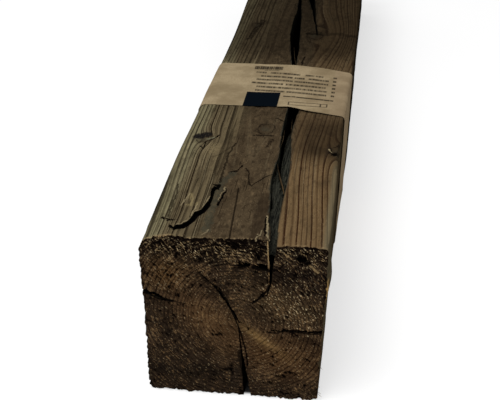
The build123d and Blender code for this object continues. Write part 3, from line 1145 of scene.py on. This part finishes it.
end = wood.coat(
    paint(31, 24, 18),
    (ease(patch, 0.3, 0.7), 54, 42, 31),
    (glow(34.0, 42.0, 38.0, 20.0, -12.0) * 0.55, 92, 66, 40),
    (glow(20.0, 56.0, 19.0, 3.6, -38.0) * 0.65, 134, 106, 66),
    (glow(-22.0, 72.0, 30.0, 15.0, -42.0) * 0.6, 94, 69, 44),
    (glow(-52.0, 110.0, 17.0, 13.0) * 0.45, 104, 76, 44),
    (glow(-48.0, 16.0, 44.0, 22.0) * 0.55, 26, 21, 16),
    (glow(36.0, 88.0, 30.0, 15.0, -20.0) * 0.4, 90, 72, 48),
    (glow(54.0, 114.0, 22.0, 20.0) * 0.6, 22, 16, 13),
    (glow(3.0, 34.0, 5.0, 22.0, -12.0) * 0.5, 24, 23, 21),
    (ease(z, 122.0, 136.0) * 0.5, 24, 17, 12),
    (late * (0.62 - 0.42 * glow(4.0, 71.0, 30.0, 26.0)), 16, 11, 8),
)

# %% Torn tips of the sawn end, and painted shade in its pits
crest = ease(z, 116.0, 134.0)
beaded_zone = glow(44.0, 86.0, 28.0, 18.0, -20.0)
rough_zone = all_over(
    crest, beaded_zone, glow(-50.0, 108.0, 22.0, 16.0) * 0.8, glow(54.0, 112.0, 22.0, 26.0)
)
torn_up = flecks * 0.42 + tufts * 0.22 + grit * 0.26
tips = torn_up + height * 0.2 - 0.06 * late + 0.025 * rough_zone + (patch - 0.5) * 0.16
tips = tips - 0.03 * glow(-40.0, 20.0, 46.0, 30.0) - 0.05 * glow(54.0, 116.0, 24.0, 24.0)
bright = wood.mix(crest, paint(124, 98, 66), paint(160, 134, 94))
# Painted shade in the pits: where the end is torn deepest this score is low and the colour goes nearly
# black
pit_shade = torn_up + height * 0.26 - 0.04 * late - 0.07 * rough_zone + 0.06 * beaded_zone
beaded = ease(beads + 0.05 * rough_zone, 0.66, 0.71) * ease(height, 0.2, 0.5)
beaded = beaded * (0.3 + 0.55 * all_over(crest * 0.65, beaded_zone))

# Painted shade, nearly black, along the cracks, the dashes of the ring shake and the void, drawn on a
# place across and up
on_end = wood.spot(x + (grit - 0.5) * 1.8, z + (grit - 0.5) * 1.8 + (patch - 0.5) * 1.5)
shaded_cracks = drawn(
    (on_end, ((26.2, 104.8), (25.1, 101.3), (23.0, 98.2), (17.0, 90.8), (13.6, 88.7)), 1.5, 1.0),
    (on_end, ((-69.6, 91.7), (-65.0, 90.6), (-59.1, 87.8), (-53.1, 85.9), (-48.0, 85.7)), 2.3, 1.0),
    (on_end, ((-48.0, 85.7), (-38.0, 83.9)), 1.2, 0.7),
    (on_end, ((-26.0, 113.6), (-23.3, 107.5), (-19.4, 103.7)), 1.4, 0.5),
    (on_end, ((-11.6, 99.7), (-4.8, 87.3), (0.9, 72.3), (4.8, 59.3), (8.7, 42.4), (9.6, 30.0)), 1.2, 1.0),
    (on_end, ((3.2, 43.0), (5.0, 29.6), (7.0, 18.4), (8.2, 8.0)), 3.0, 0.7),
    (on_end, ((24.5, 63.4), (30.0, 62.4), (39.0, 64.6), (61.8, 64.1), (67.8, 65.3)), 1.2, 0.9),
    (on_end, ((4.4, 121.0), (8.4, 120.8)), 2.8, 1.0),
    (on_end, ((14.8, 120.2), (20.1, 119.3), (29.5, 118.4)), 3.0, 1.0),
    (on_end, ((49.4, 130.9), (54.7, 126.8)), 5.0, 1.0),
    (on_end, ((16.7, 128.0), (20.1, 132.7), (23.0, 136.0)), 4.5, 0.85),
    (on_end, ((-15.1, 118.9), (-5.2, 122.3), (3.6, 121.0)), 1.5, 0.7),
    (on_end, ((-9.0, 24.5), (-3.0, 25.5)), 2.6, 0.8),
)
pale_fleck = mark(on_end, ((55.7, 125.2), (62.5, 118.9)), 1.6)
end = wood.coat(
    end,
    (ease(tips, 0.56, 0.70) * 0.75, bright),
    # Painted shade in the pits
    (fall(pit_shade, 0.40, 0.52) * 0.92, 7, 5, 4),
    (beaded, 190, 170, 132),
    (pale_fleck * 0.45, 168, 142, 100),
    # Painted shade in the cracks, the shake and the void
    (shaded_cracks * 0.96, 5, 4, 4),
)

# %% Put faces and end together
near = all_over(fall(along, 2.0, 3.2), ease(wood.attribute("sawn"), 0.9, 0.99)) * skin
sawn = all_over(near, ease(along, LENGTH - 2.5, LENGTH - 1.5))
relief = (1.0 - sawn) * (late * (0.4 - 0.3 * warm) + (1.0 - fibre) * 0.4 - marks)
relief = relief + sawn * (flecks * 0.9 + tufts * 0.9 + grit * 0.7 - shaded_cracks)
wood.surface(wood.mix(sawn, face, end), 0.78 + 0.15 * fibre, relief, 0.0008)
dress(timber, wood)

# %% [markdown]
# ## Torn wood
# Old timber isn't only a block with marks. Left of the middle, near the end, a scale has lifted and
# hangs over its own shadow. The first check isn't one gap but two, which pass each other with a
# thin blade of wood between them and rough shelves below. And the saw left fibres standing on the
# near end. Each is its own small piece that moves with the timber and shares its finish.

# %% A lifted scale
SCALE_WIDTH, SCALE_LENGTH, SCALE_THICK = 12.0, 15.0, 1.2
scale = add(
    bpy.ops.mesh.primitive_grid_add, "lifted_scale", x_subdivisions=76, y_subdivisions=14, size=2
)
flat = points_of(scale)
u = flat[:, 0] * MM / 2 + 0.5
v = (flat[:, 1] - LENGTH / 2) * MM / 2 + 0.5
edge_x, edge_along = between(u, np.linspace(0, 1, len(SCALE_EDGE)), SCALE_EDGE).T
jag = grain_noise(edge_along, edge_x * 2.2, edge_x * 0, 2.0, 2.6, 301) * (1 - v)
x = edge_x - v * SCALE_WIDTH + 0.9 * jag
along = edge_along + v * SCALE_LENGTH - 0.6 * jag
middle = np.clip(np.sin(math.pi * np.clip(u, 0.02, 0.98)), 0, 1) ** 0.6
ground_z = timber_top(x, along, timber_faces(along, 1.0))
ground_z = ground_z - face_depth(x, along, ground_z)
raised = (0.6 + 1.3 * middle) * (1 - v) ** 1.4 - 0.35 * v
raised = raised + 0.16 * grain_noise(x, along, ground_z, 2.4, 20.0, 302)
move_points(scale, x, along, np.minimum(ground_z + raised, HEIGHT + 4.3))
top_points = len(scale.data.vertices)
apply_modifier(scale, "SOLIDIFY", thickness=SCALE_THICK * MM, offset=-1.0)
set_attribute(scale, "skin", 1.0)
# The scale's underside, which Solidify adds after its upper face, is painted in shade
set_attribute(scale, "scale_shadow", np.arange(len(scale.data.vertices)) >= top_points)


# %% Shelves in the first check
def shelf(name, rows, seed):
    """A rough ledge; each row is a place along, left x and height, right x and height, thickness."""
    rows = np.array(rows)
    alongs = np.linspace(rows[0, 0], rows[-1, 0], 60)
    across = np.linspace(0, 1, 10)
    sections = []
    for place in alongs:
        left_x, left_z, right_x, right_z, thick = between(place, rows[:, 0], rows[:, 1:])
        ledge_x = left_x + across * (right_x - left_x)
        ledge_z = left_z + across * (right_z - left_z)
        still = ledge_x * 0
        ledge_z = ledge_z + 0.8 * grain_noise(ledge_x, place + still, still, 1.3, 14.0, seed)
        upper_side = np.stack((ledge_x, ledge_z), axis=1)
        lower_side = np.stack((ledge_x, ledge_z - thick), axis=1)
        sections.append(np.concatenate((upper_side, lower_side[::-1])))
    piece = tube(name, 20, len(alongs))
    shape_tube(piece, np.array(sections), alongs)
    set_attribute(piece, "skin", 0.0)
    return piece


shelves = [
    shelf("near_shelf", (
        (3.0, 24.0, 133.0, 33.0, 131.0, 1.5),
        (22.0, 22.0, 138.0, 30.8, 135.5, 2.5),
        (50.0, 20.2, 137.0, 29.6, 137.5, 2.5),
        (66.0, 21.3, 135.5, 29.6, 138.0, 2.0),
        (90.0, 18.2, 136.5, 27.6, 136.5, 2.5),
        (115.0, 17.0, 137.0, 21.5, 135.5, 2.0),
        (139.0, 16.6, 134.0, 18.6, 133.0, 1.0),
    ), 311),
    shelf("far_shelf", (
        (88.0, 28.0, 133.0, 31.5, 136.5, 1.5),
        (112.0, 24.0, 134.0, 31.5, 138.0, 2.5),
        (140.0, 20.6, 133.0, 30.2, 138.0, 2.5),
        (168.0, 19.6, 132.0, 28.0, 137.6, 2.5),
        (200.0, 19.0, 131.0, 25.4, 137.0, 2.0),
        (224.0, 20.0, 129.0, 24.6, 133.0, 1.0),
    ), 321),
]


# %% Blades and splinters
def strand(name, path, widths, side_way, seed, flatness, sides=8, rings=26):
    """A flat splinter along a path of places; its width runs the side way."""
    at = np.linspace(0, 1, rings)
    line = between(at, np.linspace(0, 1, len(path)), path)
    width = np.interp(at, np.linspace(0, 1, len(widths)), widths)
    width = width * (1 + 0.35 * grain_noise(at * 9, at * 0, at * 0, 1.0, 1.0, seed))
    run = np.gradient(line, axis=0)
    run /= np.linalg.norm(run, axis=1)[:, None]
    flat_way = np.cross(run, side_way)
    flat_way /= np.linalg.norm(flat_way, axis=1)[:, None]
    wide_way = np.cross(flat_way, run)
    piece = tube(name, sides, rings)
    angle, ring = turn_and_ring(piece, rings)
    half = width[ring] / 2
    points = line[ring] + wide_way[ring] * (half * np.cos(angle))[:, None]
    points += flat_way[ring] * (half * flatness * np.sin(angle))[:, None]
    move_points(piece, *points.T)
    face_outwards(piece)
    set_attribute(piece, "skin", 1.0)
    set_attribute(piece, "height", 1.1)
    return piece


UP, ACROSS = (0.0, 0.0, 1.0), (1.0, 0.0, 0.0)
splinters = [strand(*row) for row in (
    ("blade", (
        (16.9, 142.0, 137.4), (17.8, 137.0, 138.2), (22.9, 111.6, 138.6), (27.0, 94.2, 138.4),
        (30.4, 78.0, 138.0),
    ), (1.0, 4.6, 4.6, 3.6, 0.8), UP, 331, 0.22),
    ("mouth_sliver", (
        (25.2, 0.9, 143.2), (25.6, 0.5, 134.0), (26.2, 0.6, 120.0), (26.2, 1.0, 103.0),
    ), (0.8, 1.1, 1.0, 0.4), ACROSS, 332, 0.6),
    ("front_splinter", (
        (26.0, 4.0, 141.8), (23.4, 23.0, 142.2), (20.2, 42.0, 141.6),
    ), (1.8, 2.2, 0.5), ACROSS, 333, 0.3),
    ("lip_chip", (
        (19.0, 3.0, 143.7), (19.0, 12.0, 143.4), (19.4, 23.0, 142.8),
    ), (4.2, 3.0, 0.4), ACROSS, 337, 0.2),
    ("slit_splinter", (
        (16.6, 166.0, 139.0), (17.6, 188.0, 138.6), (16.6, 212.0, 137.6),
    ), (0.5, 1.1, 0.5), UP, 334, 0.5),
    ("far_splinter", (
        (24.0, 196.0, 138.6), (22.4, 216.0, 137.8), (21.0, 240.0, 136.6),
    ), (0.5, 1.5, 0.6), UP, 335, 0.4),
    ("back_splinter", (
        (12.4, 372.0, 140.0), (8.4, 400.0, 139.6), (4.6, 436.0, 138.6),
    ), (2.0, 2.6, 0.6), UP, 336, 0.3),
)]

# %% Fibres on the near end
# More places are drawn than are needed, and those over the check and the heart crack are left out
FIBRES = 1300
end_fibres = tube("end_fibres", 5, 4)
template = points_of(end_fibres)
apply_modifier(end_fibres, "ARRAY", count=FIBRES, use_relative_offset=False)
rng = np.random.default_rng(7)
start_x, start_z = rng.uniform(-67, 66, FIBRES * 3), rng.uniform(6, 138, FIBRES * 3)
in_check = (np.abs(start_x - 27.5) < 5.5) & (start_z > 96)
in_heart_crack = (np.abs(start_x - 7.5) < 4.5) & (start_z < 62)
kept = np.flatnonzero(~in_check & ~in_heart_crack)[:FIBRES]
start_x, start_z = start_x[kept], start_z[kept]
upper_zone = ease(start_z, 112.0, 134.0)
lean = -SAW_TILT + rng.normal(0, 0.35, FIBRES)
long = rng.uniform(1.2, 3.4, FIBRES) * (1 + 0.5 * upper_zone)
thick = rng.uniform(0.22, 0.42, FIBRES) * (1 + 0.4 * upper_zone)
tip_x, tip_z = start_x + long * np.cos(lean), start_z + long * np.sin(lean)
root_depth = end_depth(start_x, start_z) + 0.15
tip_depth = np.clip(end_depth(tip_x, tip_z) - rng.uniform(0.2, 1.0, FIBRES), 0.25, None)

# One row for each fibre and one column for each point of the template
share = (template[:, 1] / LENGTH)[None, :]
angle = np.arctan2(template[:, 2], template[:, 0])[None, :]
start_x, start_z, lean, thick, tip_x, tip_z, root_depth, tip_depth = (
    values[:, None] for values in (start_x, start_z, lean, thick, tip_x, tip_z, root_depth, tip_depth)
)
narrow = thick * (1 - 0.75 * share**2) / 2
x = start_x + (tip_x - start_x) * share - np.sin(lean) * narrow * np.cos(angle)
z = start_z + (tip_z - start_z) * share + np.cos(lean) * narrow * np.cos(angle)
along = root_depth + (tip_depth - root_depth) * share + narrow * np.sin(angle)
move_points(end_fibres, x, np.clip(along, 0.02, None), z)
face_outwards(end_fibres)
set_attribute(end_fibres, "skin", 1.0)
set_attribute(end_fibres, "sawn", 1.0)
set_attribute(end_fibres, "height", np.repeat(rng.uniform(0.6, 1.3, FIBRES), len(template)))


def join(pieces, name):
    """Joins several pieces into the first of them."""
    bpy.ops.object.select_all(action="DESELECT")
    for piece in pieces:
        piece.select_set(True)
    bpy.context.view_layer.objects.active = pieces[0]
    bpy.ops.object.join()
    pieces[0].name = name
    return pieces[0]


torn_wood = [scale, join(shelves, "check_shelves"), join(splinters, "splinters"), end_fibres]
for piece in torn_wood:
    smooth(piece, 40)
    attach(piece, "root")
    dress(piece, wood)
    print(piece.name, len(piece.data.polygons), "faces")

# %% [markdown]
# ## The paper band
# One strip of kraft paper goes round the timber and is glued under it. Paper doesn't follow the
# wood into the check. It bridges it from the raised lip to the right arris, and its turns are soft
# creases. A tube with open ends takes that outline ring by ring, and Solidify gives it the
# thickness of the paper. The strip went on a little askew, so its edges slant on the right.

# %% Outline of the sleeve
PAPER, GAP = 0.3, 0.25
BAND_RINGS, BAND_SIDES = 30, 236


def arc(centre_x, centre_z, radius, start, end, steps=10):
    angles = np.radians(np.linspace(start, end, steps))
    return np.stack((centre_x + radius * np.cos(angles), centre_z + radius * np.sin(angles)), axis=1)


def sleeve_outline(along):
    """Points round the sleeve's inner face at one place, equally spaced from the middle of its foot."""
    left, right, wane, lip, lip_left, _ = timber_faces(np.array(along), 1.0)
    foot_left, foot_right = left + LEFT_UNDERCUT - GAP, right - RIGHT_UNDERCUT + GAP
    left, right, low, high = left - GAP, right + GAP, UNDERSIDE, HEIGHT + GAP
    foot, arris, worn = FOOT_RADIUS, ARRIS_RADIUS + GAP, wane + GAP
    corners = np.concatenate((
        ((0.0, low),),
        arc(foot_right - foot, low + foot, foot, -90, 0),
        arc(right - arris, high - arris, arris, 0, 88),
        arc(lip_left, high + lip - 1.5, 1.5, 89, 96, 4),
        arc(left + worn, high - worn, worn, 92, 180),
        arc(foot_left + foot, low + foot, foot, 180, 270),
        ((0.0, low),),
    ))
    length = np.concatenate(([0], np.cumsum(np.linalg.norm(np.diff(corners, axis=0), axis=1))))
    return between(np.linspace(0, length[-1], BAND_SIDES, endpoint=False), length, corners)


# %% Wrap the sleeve
# The outline is taken at three places along, and the rings between them are blended. The two edges
# of the paper are lines across the upper face.
sleeve = tube("paper_sleeve", BAND_SIDES, BAND_RINGS, "NOTHING")
points = points_of(sleeve)
turned = np.arctan2(points[:, 2], points[:, 0]) + math.pi / 2
side = np.round(turned / (2 * math.pi / BAND_SIDES)).astype(int) % BAND_SIDES
ring = points[:, 1] / LENGTH
outlines = np.array([sleeve_outline(place) for place in (250.0, 310.0, 372.0)])
low_ring = np.clip((ring * 2).astype(int), 0, 1)
blend = (ring * 2 - low_ring)[:, None]
x, z = (outlines[low_ring, side] * (1 - blend) + outlines[low_ring + 1, side] * blend).T
front = np.interp(x, (-70.0, 15.0, 37.0, 70.0), (257.5, 257.0, 250.0, 242.5))
back = np.interp(x, (-70.0, 6.0, 38.0, 70.0), (370.6, 369.2, 366.0, 355.5))
edge_wave = 0.35 * np.sin(x / 11.0) + 0.2 * np.sin(x / 4.3 + z / 9.0)
along = front + edge_wave + ring * (back - front)
move_points(sleeve, x, along, z)
face_outwards(sleeve)

normals = read(sleeve.data.vertex_normals, "vector", 3)
creases = 0.22 * grain_noise(x, along, z, 16.0, 30.0, 201)
creases = creases + 0.1 * grain_noise(x, along, z, 5.0, 12.0, 202)
lifted = np.clip((0.16 + creases) * (z > 3.0), 0, None)
points = points_of(sleeve) + normals * lifted[:, None]
points[:, 2] = np.where(z < 0.5, 0.31, points[:, 2])
move_points(sleeve, *points.T)
apply_modifier(sleeve, "SOLIDIFY", thickness=PAPER * MM, offset=1.0)
smooth(sleeve, 35)
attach(sleeve, "root")
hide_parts("paper_band")

# %% [markdown]
# ## Kraft paper and its print
# Kraft paper is brown pulp with darker and lighter fibres. The print is one dark block and rows of
# small type. Nothing in it is meant to be read, so each row is a run of plain short dashes.

# %% Kraft paper
kraft = Finish(bpy.data.materials.new("kraft_paper"))
x, along, z = kraft.position()
pulp = kraft.noise(x / 1.6, along / 3.2, z / 1.6, 3.0, 0.65)
strands = kraft.noise(x / 0.5, along / 5.0, z / 0.5, 2.0, 0.6)
crossed = kraft.noise(x / 6.0, along / 0.6, z / 6.0, 2.0, 0.6)
rubbed = kraft.noise(x / 22.0, along / 22.0, z / 22.0, 3.0, 0.55)
paper = kraft.coat(
    paint(118, 104, 80),
    (ease(rubbed, 0.3, 0.7), 145, 130, 103),
    (ease(pulp, 0.35, 0.7) * 0.35, 118, 101, 76),
    (ease(strands, 0.58, 0.75) * 0.3, 98, 80, 57),
    (ease(crossed, 0.58, 0.74) * 0.26, 178, 160, 128),
    (ease(x, 54.0, 55.5) * 0.14, 160, 138, 116),
    # Painted shade, growing towards the right side of the band
    (ease(x, 0.0, 80.0) * 0.3, 98, 82, 62),
)

# Rows of type run a little askew; the row of sizes, the empty box, the bars and the block don't
up_face = ease(z, 137.0, 138.5)
skew = along + (x - 10.0) * 0.1
rows = (skew - 289.6) / 9.66
row = whole(rows)
in_row = within(rows - row, 0.27, 0.73, 0.06)
letters = kraft.noise(x / 1.0, row * 7.3, 4.0, 1.0, 0.5)
words = kraft.noise(x / 6.0 + row * 3.7, row * 5.1, 9.0, 0.0, 0.5)
typed = (0.45 + 0.55 * ease(letters, 0.40, 0.56)) * ease(words, 0.27, 0.31)
start = sine(row * 1.9 + 0.6) * 4.0 - 24.0
ink = in_row * typed * ease(x, start, start + 0.8) * fall(x, 49.0, 49.8)
tally = in_row * within(x, 53.6, 57.0) * ease(letters, 0.28, 0.40)
ink = all_over(ink, tally) * within(skew, 290.0, 347.0)
size_row = within(skew, 281.2, 284.2) * within(x, 8.0, 57.0) * ease(letters, 0.28, 0.42)
box = within(along, 260.8, 269.0) * within(x, 14.3, 52.0)
box = box - within(along, 262.0, 267.8) * all_over(within(x, 15.5, 44.6), within(x, 46.0, 50.8))
stripe = kraft.noise(x / 0.8, 2.0, 2.0, 0.0, 0.5)
bars = within(along, 354.0, 363.2) * within(x, -28.9, 0.3) * ease(stripe, 0.34, 0.44)
digits = within(along, 350.6, 352.6) * within(x, -18.0, -2.0) * ease(letters, 0.36, 0.48) * 0.7
ink = all_over(ink, size_row, box, bars, digits)
block = within(along, 250.0, 292.0) * within(x, -28.4, 4.7) * up_face
paper = kraft.coat(paper, (ink * (0.8 + 0.2 * pulp) * up_face * 0.94, 24, 19, 16), (block, 7, 12, 17))
kraft.surface(paper, 0.82 + 0.1 * pulp, pulp + 0.6 * strands, 0.00012)
dress(sleeve, kraft)

# %% [markdown]
# ## Floor, light and camera
# The beam lies on a plain pale floor. The light is level and mostly from above, and the camera
# stands at the near end, a little to the right, as the photograph was taken.

# %% Floor
# The camera sees a white floor that takes the beam's shadow, and under the beam it has painted
# shade. For all other rays it is plain pale grey, so it throws the same light back as a real floor.
floor = add(bpy.ops.mesh.primitive_plane_add, "floor", size=30, location=(0, 0, 0))
ground = Finish(bpy.data.materials.new("floor"))
seen = ground.node("ShaderNodeLightPath", output="Is Camera Ray")
x, along, z = ground.position()
away = 1.0 - within(x, -60.0, 58.0, 2.0) * within(along, 5.0, LENGTH - 5.0, 2.0)


def grey(level):
    return (level, level, level, 1.0)


# Painted shade, 0.04, under the beam; 0.4 elsewhere
seen_floor = ground.mix(away, grey(0.04), grey(0.4))
for name, value in (
    ("Base Color", ground.mix(seen, grey(0.8), seen_floor)),
    ("Emission Color", ground.mix(seen * away, grey(0.0), grey(0.6))),
    ("Emission Strength", 1.0), ("Roughness", 1.0), ("Specular IOR Level", 0.0),
):
    ground.plug(value, ground.shader.inputs[name])
dress(floor, ground)

# %% Light
# The world looks white where it is seen, and lights the beam with less
world = bpy.data.worlds.new("level light")
bpy.context.scene.world = world
sky = Finish(world, "Background")
ways = [f"Is {way} Ray" for way in ("Camera", "Glossy", "Transmission")]
shown = all_over(*(sky.node("ShaderNodeLightPath", output=way) for way in ways))
sky.plug(sky.mix(shown, grey(0.58), grey(1.0)), sky.shader.inputs["Color"])
bpy.ops.object.light_add(type="AREA", location=(-0.5, -1.1, 2.3))
lamp = bpy.context.object
lamp.data.shape = "SQUARE"
lamp.data.size = 1.4
lamp.data.energy = 50
lamp.rotation_euler = (Vector((0, -0.2, 0.1)) - lamp.location).to_track_quat("-Z", "Y").to_euler()

# %% Camera
turn = Matrix.Rotation(math.radians(7.631), 4, "Z")
tip = Matrix.Rotation(math.radians(90 - 27.906), 4, "X")
roll = Matrix.Rotation(math.radians(-0.456), 4, "Z")
bpy.ops.object.camera_add(
    location=(0.098463, -1.140289, 0.519153), rotation=(turn @ tip @ roll).to_euler()
)
camera = bpy.context.object
camera.data.lens = 73.96
camera.data.sensor_width = 36
bpy.context.scene.camera = camera
bpy.context.scene.view_settings.view_transform = "Standard"
